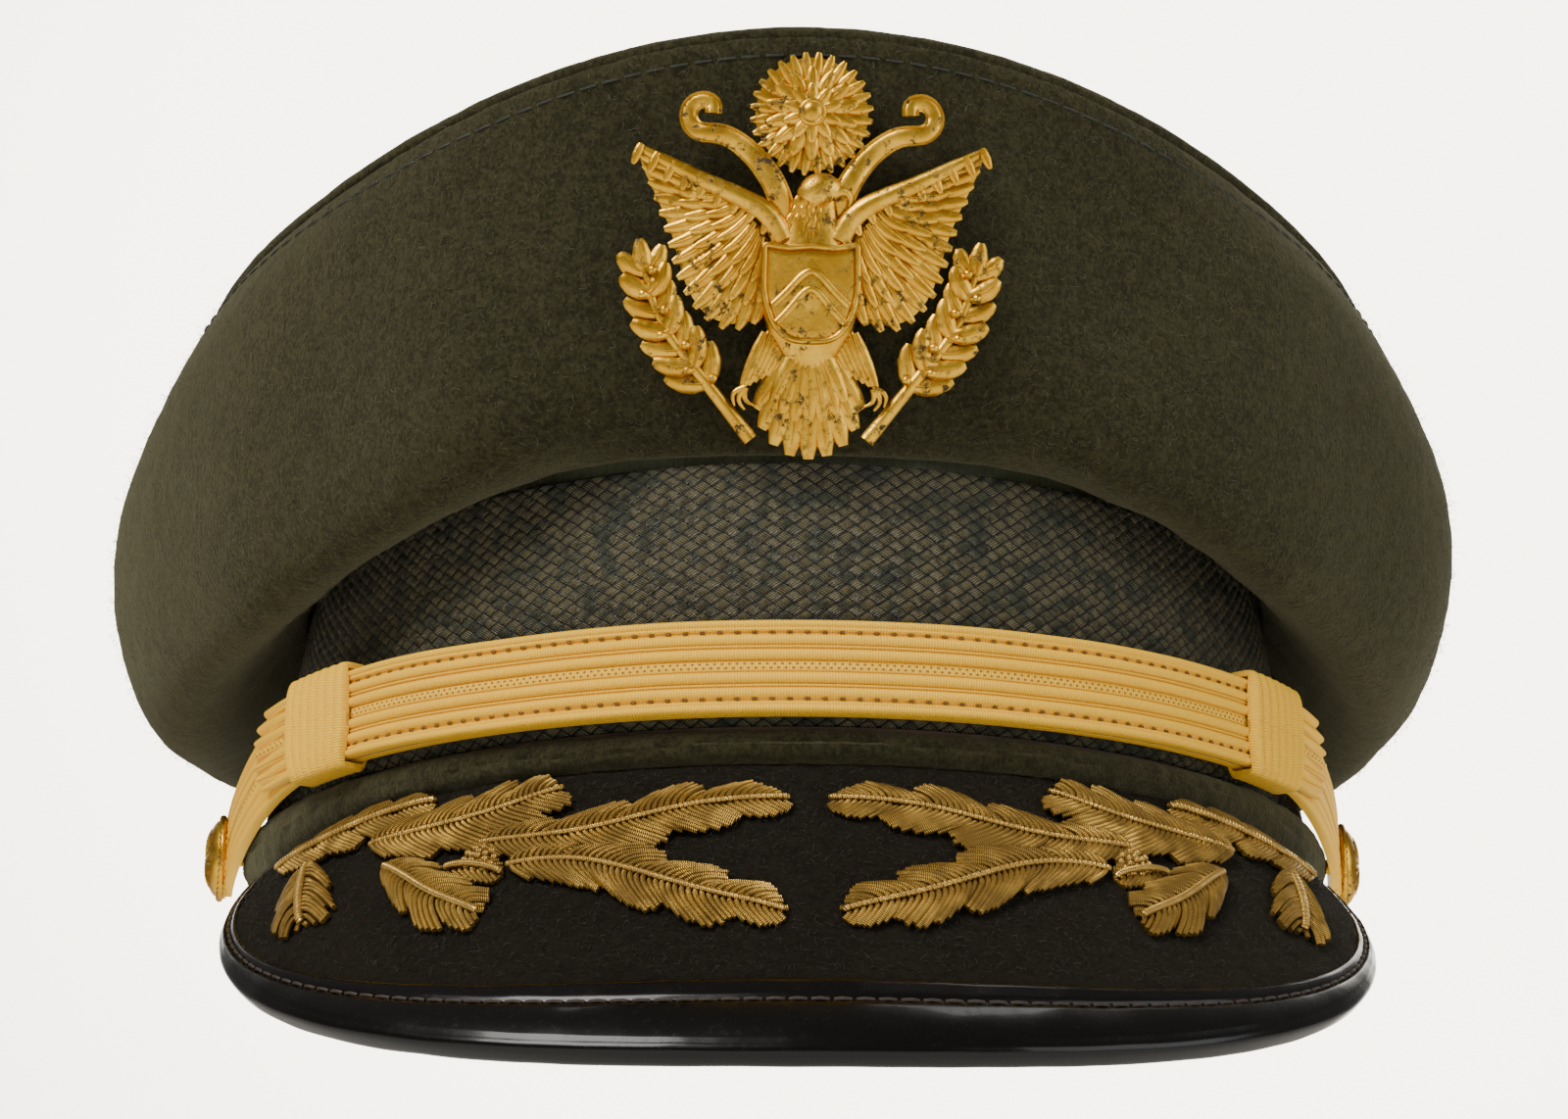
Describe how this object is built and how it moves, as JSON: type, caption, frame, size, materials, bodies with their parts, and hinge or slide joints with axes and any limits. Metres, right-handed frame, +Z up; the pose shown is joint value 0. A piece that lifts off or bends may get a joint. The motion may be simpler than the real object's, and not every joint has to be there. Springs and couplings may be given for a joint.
{
  "type": "military peaked cap",
  "caption": "Tall-fronted peaked service cap with a soft crown, braid band, gold chin strap with slides, and an embroidered curved visor.",
  "frame": {"origin": "centre of the oval head opening, in the plane of the band's lower edge", "axes": "+Z up through the crown, -Y towards the visor, +X towards the wearer's left"},
  "size_m": [0.2376, 0.2612, 0.1577],
  "materials": {
    "wool_cloth": "fulled green wool with short pale fibres",
    "braid": "dark green basket-weave braid",
    "gold_lace": "golden yellow ribbed silk lace",
    "bullion": "gold bullion wire embroidery",
    "patent_leather": "glossy black patent leather",
    "visor_cloth": "black wool cloth",
    "visor_lining": "dull dark leathercloth",
    "sweat_leather": "brown sheepskin leather",
    "satin_lining": "olive satin",
    "canvas": "stiff buckram canvas",
    "spring_steel": "spring steel wire and strip",
    "fibre_board": "vulcanised fibre",
    "gilt_brass": "gilt struck brass with dark recesses",
    "eyelet_metal": "painted dull green metal",
    "clear_plastic": "clear plastic film"
  },
  "bodies": {
    "cap": {"crown_top_panel": "wool_cloth", "crown_front_panel": "wool_cloth", "crown_rear_left": "wool_cloth", "crown_rear_right": "wool_cloth", "rim_welt": "wool_cloth", "rim_grommet": "spring_steel", "front_stay": "spring_steel", "front_interlining": "canvas", "lining_side": "satin_lining", "lining_top": "satin_lining", "size_shield": "clear_plastic", "band_stiffener": "fibre_board", "braid_band": "braid", "base_welt": "wool_cloth", "sweatband": "sweat_leather", "sweatband_reed": "sweat_leather", "sweatband_bow": "satin_lining", "visor_board": "fibre_board", "visor_top_cloth": "visor_cloth", "visor_lining": "visor_lining", "visor_binding": "patent_leather", "badge_bird": "gilt_brass", "badge_shield": "gilt_brass", "badge_sunburst": "gilt_brass", "badge_screw": "gilt_brass", "badge_washer": "gilt_brass", "leaf_upper_left": "bullion", "leaf_lower_left": "bullion", "leaf_outer_left": "bullion", "leaf_side_left": "bullion", "leaf_end_left": "bullion", "button_anchor_left": "gilt_brass", "vent_eyelet_left": "eyelet_metal", "vent_washer_left": "eyelet_metal", "leaf_upper_right": "bullion", "leaf_lower_right": "bullion", "leaf_outer_right": "bullion", "leaf_side_right": "bullion", "leaf_end_right": "bullion", "button_anchor_right": "gilt_brass", "vent_eyelet_right": "eyelet_metal", "vent_washer_right": "eyelet_metal"},
    "chin_strap": {"strap_face": "gold_lace", "strap_under": "gold_lace"},
    "slide_left": {"strap_slide_left": "gold_lace"},
    "slide_right": {"strap_slide_right": "gold_lace"},
    "button_left": {"button_dome_left": "gilt_brass", "button_post_left": "gilt_brass"},
    "button_right": {"button_dome_right": "gilt_brass", "button_post_right": "gilt_brass"},
    "badge_nut": {"badge_nut": "gilt_brass"}
  },
  "joints": [
    {"name": "chin_strap_swing", "type": "hinge", "parent": "cap", "child": "chin_strap", "pos_m": [0, -0.00844, 0.0035], "axis": [-1, 0, 0], "range_deg": [0, 3]},
    {"name": "slide_left_along_strap", "type": "hinge", "parent": "chin_strap", "child": "slide_left", "pos_m": [0, -0.0115, 0.0129], "axis": [0, 0, 1], "range_deg": [-1.5, 12]},
    {"name": "slide_right_along_strap", "type": "hinge", "parent": "chin_strap", "child": "slide_right", "pos_m": [0, -0.0115, 0.0129], "axis": [0, 0, -1], "range_deg": [-1.5, 12]},
    {"name": "button_left_turn", "type": "hinge", "parent": "cap", "child": "button_left", "pos_m": [-0.09877, -0.00844, 0.0035], "axis": [-0.9863, -0.165, 0], "continuous": true},
    {"name": "button_right_turn", "type": "hinge", "parent": "cap", "child": "button_right", "pos_m": [0.09877, -0.00844, 0.0035], "axis": [0.9863, -0.165, 0], "continuous": true},
    {"name": "badge_nut_turn", "type": "hinge", "parent": "cap", "child": "badge_nut", "pos_m": [0, -0.11291, 0.07348], "axis": [0, -0.9537, -0.3007], "continuous": true}
  ]
}
